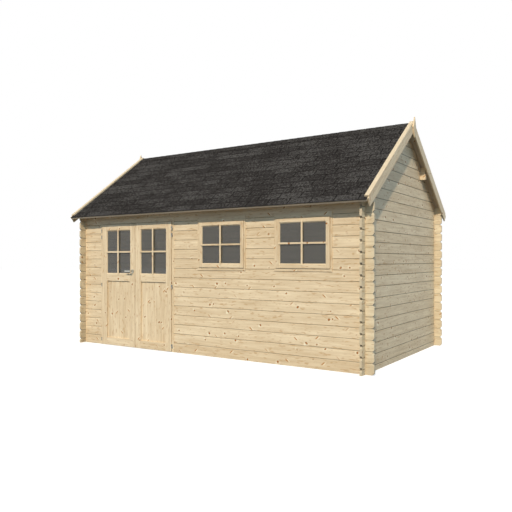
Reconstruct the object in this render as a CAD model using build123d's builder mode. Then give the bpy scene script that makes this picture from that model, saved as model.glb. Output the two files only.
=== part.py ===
from build123d import *
import math
import os

# A log garden shed with a saddle roof, a double door and two windows. Millimetres.
# X runs along the ridge, the door side faces -Y, the ground is at Z = 0 and the origin is mid plan.

# Log walls
shed_length = 4788.0  # over the outer faces of the gable walls
shed_depth = 2788.0  # over the outer faces of the eave walls
log_height = 133.0
log_thickness = 28.0
log_stub = 106.0  # log end past the wall that it crosses
log_groove = 6.0  # depth of the V joint between two courses
log_end_bevel = 24.0  # bevelled corners of a log end
plate_face = 107.0  # outer face of the wall plate

# Roof
roof_pitch = 36.0  # degrees
eave_overhang = 188.0  # level distance from the wall to the lower edge of the boards
board_thickness = 26.0
shingle_thickness = 4.5
shingle_lip = 8.0  # shingles past the board ends
ridge_cap_reach = 125.0  # ridge shingles down each slope
ridge_cap_thickness = 3.5

# Roof edges over the gables
barge_reach = 96.0  # gable wall to the inner face of the bargeboard
barge_thickness = 18.0
barge_drop = 70.0  # bargeboard below the roof boards
barge_setback = 20.0  # bargeboard short of the board ends
cap_width = 56.0
cap_thickness = 20.0
cap_setback = 55.0  # cap strip short of the board ends
finial_width = 100.0
finial_height = 274.0
finial_thickness = 17.0
finial_rise = 51.0  # finial above the cap strips

# Purlins
purlin_width = 44.0
purlin_height = 140.0
purlin_spacing = 671.0  # ridge to the middle of a slope
purlin_setback = 22.0  # purlin end behind the bargeboard

# Door
door_centre = -1249.0
door_frame_width = 1502.0
door_frame_height = 1931.0
door_casing = 30.0  # face width of a jamb
door_head_face = 60.0
door_casing_proud = 8.0
door_wall_lap = 14.0  # jamb over the log ends
door_head_lap = 38.0  # head over the log above the doorway
door_lining = 16.0  # flange on the inner face of the wall
door_stop = 15.0  # lining behind the leaves
leaf_gap = 6.0  # leaf to frame
leaf_meeting_gap = 8.0
leaf_bottom = 6.0
leaf_proud = 14.0  # leaf ahead of the casing
leaf_thickness = 40.0
leaf_stile = 110.0
leaf_top_rail = 104.0
leaf_bottom_rail = 113.0
leaf_mid_rail = 122.0
leaf_pane_height = 644.0
leaf_panel_thickness = 18.0
leaf_panel_recess = 20.0
leaf_glass_thickness = 4.0
leaf_rebate = 9.0  # panel and glass held in the stiles

# Lift-off barrel hinges, two near the top of each leaf
hinge_height = 54.0
hinge_barrel_radius = 8.0
hinge_pin_radius = 4.5
hinge_pin_play = 0.09
hinge_side_gap = 1.5  # barrel to the edge of the leaf
hinge_face_gap = 0.5  # barrel to the casing, and half to half
hinge_foot_rise = 77.0  # leaf's foot to the lowest hinge
hinge_middle_drop = 64.0  # mid rail to the hinge below it
hinge_top_drop = 95.0  # leaf's head to the top hinge
hinge_top_pair = 97.0  # top hinge to the one under it

# Lever handle
handle_rise = 32.0  # spindle above the mid rail
handle_backset = 43.0  # free edge of the leaf to the spindle
rose_radius = 26.0
rose_thickness = 8.0
lever_neck_radius = 9.0
lever_length = 97.0
lever_width = 20.0
lever_thickness = 10.0
lever_standoff = 62.0  # leaf face to the middle of the lever
lever_play = 0.09
spindle_width = 8.0
spindle_bore_radius = 8.0

# Windows
left_window_centre = 338.0
right_window_centre = 1579.0
window_sash_width = 749.0
window_sash_height = 620.0
window_sash_thickness = 34.0
window_sash_face = 60.0
window_sash_play = 4.0
window_casing = 25.0  # casing beside the sash
window_casing_lap = 14.0  # casing over the log ends
window_head_lap = 38.0
window_foot_lap = 20.0
window_foot_room = 16.0  # log below the opening to the sash
window_casing_proud = 10.0
window_lining = 12.0
window_stop_depth = 12.0  # wall face to the back of the sash
window_stop = 24.0  # frame behind the sash
window_glass_thickness = 4.0
window_rebate = 9.0

half_length = shed_length / 2
half_depth = shed_depth / 2
eave_courses = math.ceil(door_frame_height / log_height)  # whole courses below the bevelled wall plate
wall_top = eave_courses * log_height
pitch = math.radians(roof_pitch)
roof_rise = math.tan(pitch)
wall_inner = half_depth - log_thickness
gable_inner = half_length - log_thickness
log_reach_x = half_length + log_stub
log_reach_y = half_depth + log_stub
barge_inner = half_length + barge_reach
barge_outer = barge_inner + barge_thickness
purlin_reach = barge_inner - purlin_setback
course_rows = range(eave_courses + 1)
diamond_sides = 4
os.makedirs("parts", exist_ok=True)


def roof_underside(y):
    """Height of the roof boards' lower face above a point of the plan."""
    return wall_top + plate_face + (half_depth - abs(y)) * roof_rise


def slope_strip(past_boards, low, high):
    """Corners of a strip on the front slope, from a square cut end to a plumb cut at the ridge.

    low and high are heights over the boards' lower face, square to the slope."""
    end_y = -half_depth - eave_overhang - past_boards * math.cos(pitch)
    end_z = roof_underside(end_y)
    ridge_z = roof_underside(0)
    return (
        (end_y - low * math.sin(pitch), end_z + low * math.cos(pitch)),
        (0, ridge_z + low / math.cos(pitch)),
        (0, ridge_z + high / math.cos(pitch)),
        (end_y - high * math.sin(pitch), end_z + high * math.cos(pitch)),
    )


def write_piece(piece, name):
    """Label a finished piece and write it out."""
    piece.label = name
    export_step(piece, f"parts/{name}.step")


# Purlins: the ridge purlin has a top bevelled both ways, a slope purlin one bevelled one way
with BuildPart() as ridge_purlin:
    with BuildSketch(Plane.YZ):
        with BuildLine():
            Polyline(
                (-purlin_width / 2, roof_underside(purlin_width / 2) - purlin_height),
                (purlin_width / 2, roof_underside(purlin_width / 2) - purlin_height),
                (purlin_width / 2, roof_underside(purlin_width / 2)),
                (0, roof_underside(0)),
                (-purlin_width / 2, roof_underside(purlin_width / 2)),
                close=True,
            )
        make_face()
    extrude(amount=purlin_reach, both=True)
write_piece(ridge_purlin.part, "ridge_purlin")

purlin_low_edge = purlin_spacing + purlin_width / 2
purlin_high_edge = purlin_spacing - purlin_width / 2
with BuildPart() as front_purlin:
    with BuildSketch(Plane.YZ):
        with BuildLine():
            Polyline(
                (-purlin_low_edge, roof_underside(purlin_low_edge) - purlin_height),
                (-purlin_high_edge, roof_underside(purlin_low_edge) - purlin_height),
                (-purlin_high_edge, roof_underside(purlin_high_edge)),
                (-purlin_low_edge, roof_underside(purlin_low_edge)),
                close=True,
            )
        make_face()
    extrude(amount=purlin_reach, both=True)
write_piece(front_purlin.part, "front_purlin")

with BuildPart() as back_purlin:
    mirror(front_purlin.part, about=Plane.XZ)
write_piece(back_purlin.part, "back_purlin")

# Eave walls: courses with V joints, a bevelled wall plate on top, notched where the gable logs cross.
# Outside, the V joints run to the log ends; inside, from one gable wall to the other.
crossing_x = half_length - log_thickness / 2
crossing_y = half_depth - log_thickness / 2
with BuildPart() as eave_logs:
    with BuildSketch(Plane.YZ):
        with BuildLine():
            Polyline(
                (-half_depth, 0),
                (-wall_inner, 0),
                (-wall_inner, roof_underside(wall_inner)),
                (-half_depth, roof_underside(half_depth)),
                close=True,
            )
        make_face()
        with Locations(*[(-half_depth, row * log_height) for row in course_rows[1:]]):
            RegularPolygon(log_groove, diamond_sides, mode=Mode.SUBTRACT)
    extrude(amount=log_reach_x, both=True)
    with BuildSketch(Plane.YZ):
        with Locations(*[(-wall_inner, row * log_height) for row in course_rows[1:]]):
            RegularPolygon(log_groove, diamond_sides)
    extrude(amount=gable_inner, both=True, mode=Mode.SUBTRACT)
    eave_ends = [(x, row * log_height) for row in course_rows for x in (-log_reach_x, log_reach_x)]
    with BuildSketch(Plane.XZ.offset(half_depth)):
        with Locations(*eave_ends):
            RegularPolygon(log_end_bevel, diamond_sides)
    extrude(amount=-log_thickness, mode=Mode.SUBTRACT)
    gable_lines = (-crossing_x, crossing_x)
    eave_notches = [(x, -crossing_y, row * log_height) for row in course_rows for x in gable_lines]
    with Locations(*eave_notches):
        Box(log_thickness, log_thickness, log_height / 2, mode=Mode.SUBTRACT)
    plate_trim = log_reach_x - barge_inner
    plate_middle = barge_inner + plate_trim / 2
    plate_ends = [(x, -crossing_y, wall_top) for x in (-plate_middle, plate_middle)]
    with Locations(*plate_ends):
        Box(
            plate_trim,
            log_thickness,
            log_height,
            align=(Align.CENTER, Align.CENTER, Align.MIN),
            mode=Mode.SUBTRACT,
        )

with BuildPart() as back_wall:
    mirror(eave_logs.part, about=Plane.XZ)
write_piece(back_wall.part, "back_wall")

# Gable walls: they start with half a log, so that their courses lock between those of the eave walls
gable_rows = range(math.ceil(roof_underside(0) / log_height))
half_log = log_height / 2
gable_joints = [half_log + row * log_height for row in gable_rows]
with BuildPart() as right_gable_wall:
    with BuildSketch(Plane.XZ):
        with Locations((half_length - log_thickness / 2, 0)):
            Rectangle(log_thickness, roof_underside(0), align=(Align.CENTER, Align.MIN))
        with Locations(*[(half_length, height) for height in gable_joints]):
            RegularPolygon(log_groove, diamond_sides, mode=Mode.SUBTRACT)
    extrude(amount=log_reach_y, both=True)
    with BuildSketch(Plane.XZ):
        with Locations(*[(gable_inner, height) for height in gable_joints]):
            RegularPolygon(log_groove, diamond_sides)
    extrude(amount=wall_inner, both=True, mode=Mode.SUBTRACT)
    with BuildSketch(Plane.YZ):
        with BuildLine():
            Polyline(
                (-log_reach_y, 0),
                (log_reach_y, 0),
                (log_reach_y, roof_underside(log_reach_y)),
                (0, roof_underside(0)),
                (-log_reach_y, roof_underside(log_reach_y)),
                close=True,
            )
        make_face()
    extrude(amount=half_length, mode=Mode.INTERSECT)
    stub_ends = (-log_reach_y, log_reach_y)
    gable_ends = [(y, half_log + row * log_height) for row in course_rows for y in stub_ends]
    with BuildSketch(Plane.YZ.offset(half_length)):
        with Locations(*gable_ends):
            RegularPolygon(log_end_bevel, diamond_sides)
    extrude(amount=-log_thickness, mode=Mode.SUBTRACT)
    eave_lines = (-crossing_y, crossing_y)
    gable_notches = [(crossing_x, y, half_log + row * log_height) for row in course_rows for y in eave_lines]
    with Locations(*gable_notches):
        Box(log_thickness, log_thickness, half_log, mode=Mode.SUBTRACT)
    plate_seats = [(crossing_x, y, half_log + wall_top) for y in eave_lines]
    with Locations(*plate_seats):
        Box(
            log_thickness,
            log_thickness,
            log_height,
            align=(Align.CENTER, Align.CENTER, Align.MIN),
            mode=Mode.SUBTRACT,
        )
    add(ridge_purlin.part, mode=Mode.SUBTRACT)
    add(front_purlin.part, mode=Mode.SUBTRACT)
    add(back_purlin.part, mode=Mode.SUBTRACT)
write_piece(right_gable_wall.part, "right_gable_wall")

with BuildPart() as left_gable_wall:
    mirror(right_gable_wall.part, about=Plane.YZ)
write_piece(left_gable_wall.part, "left_gable_wall")

# Front wall: the same courses as the back wall, in slabs beside and over the doorway and the windows
door_cut_left = door_centre - door_frame_width / 2 + door_wall_lap
door_cut_right = door_centre + door_frame_width / 2 - door_wall_lap
door_cut_top = door_frame_height - door_head_lap
window_courses = math.ceil((window_sash_height + window_foot_room + window_sash_play) / log_height)
window_cut_top = wall_top - log_height
window_cut_height = window_courses * log_height
window_cut_bottom = window_cut_top - window_cut_height
casing_width = window_sash_width + 2 * window_casing
window_cut_width = casing_width - 2 * window_casing_lap
window_centres = {"left_window": left_window_centre, "right_window": right_window_centre}
window_cut_edges = [(x - window_cut_width / 2, x + window_cut_width / 2) for x in window_centres.values()]


def wall_slab(left, right, bottom, top):
    """The stretch of the front log wall between two heights and two plumb cuts."""
    with BuildPart() as slab:
        add(eave_logs.part)
        with Locations((left, -half_depth, bottom)):
            Box(
                right - left,
                log_thickness,
                top - bottom,
                align=(Align.MIN, Align.MIN, Align.MIN),
                mode=Mode.INTERSECT,
            )
    return slab.part


wall_peak = roof_underside(wall_inner)
write_piece(wall_slab(-log_reach_x, door_cut_left, 0, door_cut_top), "front_wall_left")
write_piece(wall_slab(-log_reach_x, door_cut_right, door_cut_top, wall_peak), "front_wall_over_door")
write_piece(wall_slab(door_cut_right, log_reach_x, 0, window_cut_bottom), "front_wall_base")
write_piece(wall_slab(door_cut_right, log_reach_x, window_cut_top, wall_peak), "front_wall_top")

pier_lefts = [door_cut_right] + [right for left, right in window_cut_edges]
pier_rights = [left for left, right in window_cut_edges] + [log_reach_x]
with BuildPart() as front_wall_piers:
    for pier_left, pier_right in zip(pier_lefts, pier_rights):
        add(wall_slab(pier_left, pier_right, window_cut_bottom, window_cut_top))
write_piece(front_wall_piers.part, "front_wall_piers")

# Roof boards, shingles and ridge shingles
shingle_low = board_thickness
shingle_high = board_thickness + shingle_thickness
cap_inner = barge_outer - cap_width
with BuildPart() as front_roof_boards:
    with BuildSketch(Plane.YZ):
        with BuildLine():
            Polyline(*slope_strip(0, 0, board_thickness), close=True)
        make_face()
    extrude(amount=barge_inner, both=True)
write_piece(front_roof_boards.part, "front_roof_boards")

with BuildPart() as front_shingles:
    with BuildSketch(Plane.YZ):
        with BuildLine():
            Polyline(*slope_strip(shingle_lip, shingle_low, shingle_high), close=True)
        make_face()
    extrude(amount=barge_inner, both=True)
write_piece(front_shingles.part, "front_shingles")

with BuildPart() as back_roof_boards:
    mirror(front_roof_boards.part, about=Plane.XZ)
write_piece(back_roof_boards.part, "back_roof_boards")

with BuildPart() as back_shingles:
    mirror(front_shingles.part, about=Plane.XZ)
write_piece(back_shingles.part, "back_shingles")

slope_length = (half_depth + eave_overhang) / math.cos(pitch)
with BuildPart() as ridge_cap:
    with BuildSketch(Plane.YZ):
        with BuildLine():
            ridge_cap_high = shingle_high + ridge_cap_thickness
            Polyline(*slope_strip(ridge_cap_reach - slope_length, shingle_high, ridge_cap_high), close=True)
        make_face()
        mirror(about=Plane.YZ)
    extrude(amount=cap_inner, both=True)
write_piece(ridge_cap.part, "ridge_cap")

# Bargeboards on both gables, and the cap strips over their upper edges
with BuildPart() as front_bargeboards:
    with BuildSketch(Plane.YZ.offset(barge_inner)):
        with BuildLine():
            Polyline(*slope_strip(-barge_setback, -barge_drop, shingle_high), close=True)
        make_face()
    extrude(amount=barge_thickness)
    mirror(about=Plane.YZ)
write_piece(front_bargeboards.part, "front_bargeboards")

with BuildPart() as back_bargeboards:
    mirror(front_bargeboards.part, about=Plane.XZ)
write_piece(back_bargeboards.part, "back_bargeboards")

cap_high = shingle_high + cap_thickness
with BuildPart() as front_cap_strips:
    with BuildSketch(Plane.YZ.offset(cap_inner)):
        with BuildLine():
            Polyline(*slope_strip(-cap_setback, shingle_high, cap_high), close=True)
        make_face()
    extrude(amount=cap_width)
    mirror(about=Plane.YZ)
write_piece(front_cap_strips.part, "front_cap_strips")

with BuildPart() as back_cap_strips:
    mirror(front_cap_strips.part, about=Plane.XZ)
write_piece(back_cap_strips.part, "back_cap_strips")

# Finials: a diamond board over the joint of the bargeboards
finial_top = roof_underside(0) + cap_high / math.cos(pitch) + finial_rise
finial_middle = finial_top - finial_height / 2
with BuildPart() as right_finial:
    with BuildSketch(Plane.YZ.offset(barge_outer)):
        with BuildLine():
            Polyline(
                (0, finial_top),
                (finial_width / 2, finial_middle),
                (0, finial_top - finial_height),
                (-finial_width / 2, finial_middle),
                close=True,
            )
        make_face()
    extrude(amount=finial_thickness)
write_piece(right_finial.part, "right_finial")

with BuildPart() as left_finial:
    mirror(right_finial.part, about=Plane.YZ)
write_piece(left_finial.part, "left_finial")

# Door frame: posts and a head that clasp the log ends, with a stop behind the leaves
frame_front = -half_depth - door_casing_proud
frame_back = -wall_inner + door_lining
frame_left = door_centre - door_frame_width / 2
jamb_edge = frame_left + door_casing
head_edge = door_frame_height - door_head_face
with BuildPart() as door_jambs:
    with BuildSketch(Plane.XY):
        with BuildLine():
            Polyline(
                (frame_left, frame_front),
                (jamb_edge, frame_front),
                (jamb_edge, -wall_inner),
                (jamb_edge + door_stop, -wall_inner),
                (jamb_edge + door_stop, frame_back),
                (frame_left, frame_back),
                (frame_left, -wall_inner),
                (door_cut_left, -wall_inner),
                (door_cut_left, -half_depth),
                (frame_left, -half_depth),
                close=True,
            )
        make_face()
    extrude(amount=head_edge)
    mirror(about=Plane.YZ.offset(door_centre))
write_piece(door_jambs.part, "door_jambs")

with BuildPart() as door_head:
    with BuildSketch(Plane.YZ.offset(frame_left)):
        with BuildLine():
            Polyline(
                (frame_front, head_edge),
                (frame_back, head_edge),
                (frame_back, door_frame_height),
                (-wall_inner, door_frame_height),
                (-wall_inner, door_cut_top),
                (-half_depth, door_cut_top),
                (-half_depth, door_frame_height),
                (frame_front, door_frame_height),
                close=True,
            )
        make_face()
    extrude(amount=door_frame_width)
    log_ends = [(x, -crossing_y, head_edge) for x in (frame_left, frame_left + door_frame_width)]
    with Locations(*log_ends):
        Box(
            2 * door_wall_lap,
            log_thickness,
            door_cut_top - head_edge,
            align=(Align.CENTER, Align.CENTER, Align.MIN),
            mode=Mode.SUBTRACT,
        )
write_piece(door_head.part, "door_head")

# Door leaves: stiles and rails round a boarded panel below and a pane above, drawn for the left leaf
leaf_left = jamb_edge + leaf_gap
leaf_right = door_centre - leaf_meeting_gap / 2
leaf_middle = (leaf_left + leaf_right) / 2
leaf_width = leaf_right - leaf_left
leaf_top = head_edge - leaf_gap
leaf_front = frame_front - leaf_proud
leaf_centre_y = leaf_front + leaf_thickness / 2
pane_width = leaf_width - 2 * leaf_stile
pane_top = leaf_top - leaf_top_rail
pane_bottom = pane_top - leaf_pane_height
panel_top = pane_bottom - leaf_mid_rail
panel_bottom = leaf_bottom + leaf_bottom_rail
panel_height = panel_top - panel_bottom
panel_centre_y = leaf_front + leaf_panel_recess + leaf_panel_thickness / 2
panel_spot = (leaf_middle, panel_centre_y, (panel_top + panel_bottom) / 2)
pane_spot = (leaf_middle, leaf_centre_y, (pane_top + pane_bottom) / 2)
panel_size = (pane_width + 2 * leaf_rebate, leaf_panel_thickness, panel_height + 2 * leaf_rebate)
glass_size = (pane_width + 2 * leaf_rebate, leaf_glass_thickness, leaf_pane_height + 2 * leaf_rebate)
handle_x = leaf_right - handle_backset
handle_height = pane_bottom + handle_rise


def build_leaf_frame(bored):
    """Stiles and rails of the left leaf, with the spindle's hole where the leaf carries the handle."""
    with BuildPart() as frame:
        with BuildSketch(Plane.XZ.offset(-leaf_front)):
            with Locations((leaf_middle, leaf_bottom)):
                Rectangle(leaf_width, leaf_top - leaf_bottom, align=(Align.CENTER, Align.MIN))
            with Locations((leaf_middle, panel_spot[2])):
                Rectangle(pane_width, panel_height, mode=Mode.SUBTRACT)
            with Locations((leaf_middle, pane_spot[2])):
                Rectangle(pane_width, leaf_pane_height, mode=Mode.SUBTRACT)
        extrude(amount=-leaf_thickness)
        with Locations(panel_spot):
            Box(*panel_size, mode=Mode.SUBTRACT)
        with Locations(pane_spot):
            Box(*glass_size, mode=Mode.SUBTRACT)
        if bored:
            with BuildSketch(Plane.XZ.offset(-leaf_front)):
                with Locations((handle_x, handle_height)):
                    Circle(spindle_bore_radius)
            extrude(amount=-leaf_thickness, mode=Mode.SUBTRACT)
    return frame.part


with BuildPart() as left_leaf_panel:
    with Locations(panel_spot):
        Box(*panel_size)

with BuildPart() as left_leaf_glass:
    with Locations(pane_spot):
        Box(*glass_size)

# Lift-off hinges of the left leaf: a pin on the frame's half below, a sleeve on the leaf's half above
hinge_x = leaf_left - hinge_side_gap - hinge_barrel_radius
hinge_y = frame_front - hinge_face_gap - hinge_barrel_radius
hinge_half = (hinge_height - hinge_face_gap) / 2
hinge_foot = leaf_bottom + hinge_foot_rise
hinge_waist = panel_top - hinge_middle_drop
hinge_top = leaf_top - hinge_top_drop
hinge_middles = (hinge_foot, hinge_waist, hinge_top - hinge_top_pair, hinge_top)
with BuildPart() as left_hinge_frame_halves:
    for middle in hinge_middles:
        with BuildSketch(Plane.XY.offset(middle - hinge_height / 2)):
            with Locations((hinge_x, hinge_y)):
                Circle(hinge_barrel_radius)
                Rectangle(2 * hinge_barrel_radius, frame_front - hinge_y, align=(Align.CENTER, Align.MIN))
        extrude(amount=hinge_half)
        with BuildSketch(Plane.XY.offset(middle - hinge_height / 2)):
            with Locations((hinge_x, hinge_y)):
                Circle(hinge_pin_radius)
        extrude(amount=hinge_height)

with BuildPart() as left_hinge_leaf_halves:
    for middle in hinge_middles:
        with BuildSketch(Plane.XY.offset(middle + hinge_height / 2)):
            with Locations((hinge_x, hinge_y)):
                Circle(hinge_barrel_radius)
                Rectangle(leaf_left - hinge_x, 2 * hinge_barrel_radius, align=(Align.MIN, Align.CENTER))
                Circle(hinge_pin_radius + hinge_pin_play, mode=Mode.SUBTRACT)
        extrude(amount=-hinge_half)

door_middle = Plane.YZ.offset(door_centre)
left_pieces = {
    "leaf_panel": left_leaf_panel.part,
    "leaf_glass": left_leaf_glass.part,
    "hinge_frame_halves": left_hinge_frame_halves.part,
    "hinge_leaf_halves": left_hinge_leaf_halves.part,
}
for name, left_piece in left_pieces.items():
    with BuildPart() as right_piece:
        mirror(left_piece, about=door_middle)
    write_piece(left_piece, f"left_{name}")
    write_piece(right_piece.part, f"right_{name}")

with BuildPart() as right_leaf_frame:
    mirror(build_leaf_frame(bored=False), about=door_middle)
write_piece(build_leaf_frame(bored=True), "left_leaf_frame")
write_piece(right_leaf_frame.part, "right_leaf_frame")

# Handle: a rose on each face of the left leaf, and two flat levers on one square spindle
with BuildPart() as handle_roses:
    with BuildSketch(Plane.XZ.offset(-leaf_front)):
        with Locations((handle_x, handle_height)):
            Circle(rose_radius)
            Circle(lever_neck_radius + lever_play, mode=Mode.SUBTRACT)
    extrude(amount=rose_thickness)
    mirror(about=Plane.XZ.offset(-leaf_centre_y))
write_piece(handle_roses.part, "handle_roses")

lever_front = lever_standoff + lever_thickness / 2
with BuildPart() as lever_handle:
    with BuildSketch(Plane.XZ.offset(lever_front - leaf_front)):
        with Locations((handle_x - lever_length / 2, handle_height)):
            SlotCenterToCenter(lever_length, lever_width)
    extrude(amount=-lever_thickness)
    with BuildSketch(Plane.XZ.offset(-leaf_front)):
        with Locations((handle_x, handle_height)):
            Circle(lever_neck_radius)
    extrude(amount=lever_standoff)
    mirror(about=Plane.XZ.offset(-leaf_centre_y))
    with BuildSketch(Plane.XZ.offset(-leaf_front)):
        with Locations((handle_x, handle_height)):
            Rectangle(spindle_width, spindle_width)
    extrude(amount=-leaf_thickness)
write_piece(lever_handle.part, "lever_handle")

# Windows: a frame that clasps the logs, and a sash with its pane set against the frame's stop
casing_top = window_cut_top + window_head_lap
casing_bottom = window_cut_bottom - window_foot_lap
sash_bottom = window_cut_bottom + window_foot_room
sash_middle = sash_bottom + window_sash_height / 2
sash_room = (window_sash_width + 2 * window_sash_play, window_sash_height + 2 * window_sash_play)
pane_size = (window_sash_width - 2 * window_sash_face, window_sash_height - 2 * window_sash_face)
stop_size = (window_sash_width - 2 * window_stop, window_sash_height - 2 * window_stop)
sash_back = -half_depth + window_stop_depth
sash_centre_y = sash_back - window_sash_thickness / 2
window_glass_width = pane_size[0] + 2 * window_rebate
window_glass_size = (window_glass_width, window_glass_thickness, pane_size[1] + 2 * window_rebate)

for name, window_x in window_centres.items():
    with BuildPart() as window_frame:
        with BuildSketch(Plane.XZ.offset(half_depth)):
            with Locations((window_x, casing_bottom)):
                Rectangle(casing_width, casing_top - casing_bottom, align=(Align.CENTER, Align.MIN))
            with Locations((window_x, sash_middle)):
                Rectangle(*sash_room, mode=Mode.SUBTRACT)
        extrude(amount=window_casing_proud)
        with BuildSketch(Plane.XZ.offset(half_depth)):
            with Locations((window_x, window_cut_bottom)):
                Rectangle(window_cut_width, window_cut_height, align=(Align.CENTER, Align.MIN))
            with Locations((window_x, sash_middle)):
                Rectangle(*stop_size, mode=Mode.SUBTRACT)
        extrude(amount=-log_thickness)
        with BuildSketch(Plane.XZ.offset(wall_inner)):
            with Locations((window_x, casing_bottom)):
                Rectangle(casing_width, casing_top - casing_bottom, align=(Align.CENTER, Align.MIN))
            with Locations((window_x, sash_middle)):
                Rectangle(*stop_size, mode=Mode.SUBTRACT)
        extrude(amount=-window_lining)
        with BuildSketch(Plane.XZ.offset(half_depth)):
            with Locations((window_x, sash_middle)):
                Rectangle(*sash_room)
        extrude(amount=-window_stop_depth, mode=Mode.SUBTRACT)
    write_piece(window_frame.part, f"{name}_frame")

    with BuildPart() as window_sash:
        with BuildSketch(Plane.XZ.offset(-sash_back)):
            with Locations((window_x, sash_middle)):
                Rectangle(window_sash_width, window_sash_height)
                Rectangle(*pane_size, mode=Mode.SUBTRACT)
        extrude(amount=window_sash_thickness)
        with Locations((window_x, sash_centre_y, sash_middle)):
            Box(*window_glass_size, mode=Mode.SUBTRACT)
    write_piece(window_sash.part, f"{name}_sash")

    with BuildPart() as window_glass:
        with Locations((window_x, sash_centre_y, sash_middle)):
            Box(*window_glass_size)
    write_piece(window_glass.part, f"{name}_glass")
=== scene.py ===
import math
import random

import bmesh
import bpy
from mathutils import Matrix, Vector


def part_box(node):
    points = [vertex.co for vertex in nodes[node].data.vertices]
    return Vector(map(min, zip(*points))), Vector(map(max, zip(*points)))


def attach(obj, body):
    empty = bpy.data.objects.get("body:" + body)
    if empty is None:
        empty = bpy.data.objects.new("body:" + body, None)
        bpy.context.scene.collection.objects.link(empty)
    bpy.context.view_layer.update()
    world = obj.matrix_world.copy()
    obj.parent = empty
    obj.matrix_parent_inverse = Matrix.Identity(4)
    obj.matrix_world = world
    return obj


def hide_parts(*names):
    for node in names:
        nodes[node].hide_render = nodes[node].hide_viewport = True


# Looks of a log garden shed, in metres. X runs along the ridge, the door side faces -Y, Z is up.

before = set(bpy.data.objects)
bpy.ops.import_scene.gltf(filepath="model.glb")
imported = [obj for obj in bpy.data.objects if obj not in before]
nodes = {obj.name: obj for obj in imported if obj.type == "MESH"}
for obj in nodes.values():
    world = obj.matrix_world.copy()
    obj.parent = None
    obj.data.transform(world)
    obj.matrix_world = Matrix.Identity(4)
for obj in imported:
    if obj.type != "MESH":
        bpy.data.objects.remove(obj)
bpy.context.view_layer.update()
chance = random.Random(28)

# Timber
log_height = 0.133
joinery_ease = 0.0018  # rounding of planed edges
rebate = 0.009  # how far panes and panels sit in their frames
panel_board_width = 0.122
panel_board_joint = 0.0035
roof_board_width = 0.096
roof_board_joint = 0.003
pane_chamfer = 0.014  # round the panes, on the frame's front edge
bar_width = 0.024
bar_depth = 0.013
bar_proud = 0.007  # glazing bar ahead of the frame
bar_lap = 0.022  # glazing bar over the chamfer
bar_ease = 0.004
bar_halving = 0.001  # upright bar ahead of the level one
sharp_edge = 0.3  # radians; edges that turn by more are eased
flat_edge = 0.01  # radians; edges that turn by less are dissolved
ease_segments = 2
tiny = 0.00001

# Roof covering
roof_pitch = math.radians(36)
pitch_sin = math.sin(roof_pitch)
pitch_cos = math.cos(roof_pitch)
roof_board_thickness = 0.026
felt_thickness = 0.0012
tab_thickness = 0.0026
tab_width = 0.305
tab_slot = 0.010
tab_exposure = 0.140
tab_overlap = 0.022
tab_ease = 0.0006
tab_lip = 0.004  # first course past the board ends
tab_wander = 0.0015  # uneven laying
second_shift = tab_width / 2  # every second course is laid this far aside
third_shift = tab_width / 7  # and of every three courses, each is laid this much further aside
ridge_tab_reach = 0.125
ridge_tab_length = 0.200
ridge_tab_rise = 0.0068  # ridge shingles over the roof boards
ridge_number = 100  # ridge shingles are numbered from here, above any course

# Colours
white = (1, 1, 1, 1)
early_wood = (0.880, 0.743, 0.511, 1)
late_wood = (0.500, 0.350, 0.180, 1)
pale_wood = (0.930, 0.855, 0.640, 1)
knot_rim = (0.265, 0.088, 0.004, 1)
knot_heart = (0.440, 0.165, 0.012, 1)
fleck_wood = (0.470, 0.265, 0.095, 1)
# painted shade and dirt for the log joints, and painted shade for the lower bevels of the log ends
shade_and_dirt_wood = (0.100, 0.075, 0.045, 1)
end_pale = (0.710, 0.580, 0.385, 1)
end_dark = (0.560, 0.420, 0.245, 1)
stub_painted_shade = (0.920, 0.965, 1.000, 1)  # painted shade that greys the log ends past the corners
deck_shade = (0.60, 0.61, 0.66, 1)  # painted shade that darkens the roof boards for the shaded soffit, and a greyer tone than the logs
shingle_dark = (0.0260, 0.0228, 0.0209, 1)
shingle_light = (0.0925, 0.0866, 0.0794, 1)
bitumen = (0.0090, 0.0078, 0.0070, 1)
pane_tint = (0.335, 0.325, 0.290, 1)
zinc_tint = (0.230, 0.235, 0.225, 1)
handle_tint = (0.480, 0.465, 0.405, 1)

# Grain of planed spruce. Scales are lumps to a metre, along and across the grain.
board_jump = 53.0  # each board shows another stretch of the pattern
board_jump_across = 0.37  # share of the jump that goes across the grain
rings_to_metre = 150.0
ring_stray = 16.0  # in rings
ring_stray_scale = (0.8, 5.0)
ring_parting = -0.65  # rings give way round a knot
late_rise = (0.35, 0.92)  # late wood darkens over this part of a ring
late_fall = (0.92, 1.0)
fibre_scale = (9.0, 700.0)
fibre_rough = 0.6
cloud_scale = (2.2, 14.0)
streak_scale = (2.0, 46.0)
fleck_scale = (12.0, 50.0)
fleck_limits = (0.58, 0.74)
grain_level = -0.663  # the next five shares add to this
late_share = 0.26
fibre_share = 0.12
cloud_share = 0.80
streak_share = 0.85
tone_share = 0.18  # from board to board
fleck_share = 0.55
wood_roughness = 0.66
late_polish = -0.12  # dark grain is a little smoother
relief_share = 0.5
wood_bump = (0.25, 0.0008)  # strength and depth, as for every bump here

# Knots. Reaches are in knot radii.
knot_spacing = (0.36, 0.120)
knot_limits = (0.50, 0.78)
knot_radius = 0.0095
knot_growth = 0.0070  # the largest knots are larger by this
knot_rim_reach = (0.85, 1.10)
knot_heart_reach = (0.10, 0.85)
eye_reach = (1.0, 3.6)
eye_share = 0.20
flare_along = 1.2
flare_across = 1.1
flare_reach = (0.7, 1.6)
flare_share = 0.75
spike_spacing = (0.62, 0.170)
spike_limits = (0.10, 0.75)
spike_lean = 1.05
spike_half_width = (0.0065, 0.0130)
spike_half_length = (0.009, 0.024)
spike_share = 0.90
sheen_rise = (0.009, 0.017)
sheen_fall = (0.020, 0.036)
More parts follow.
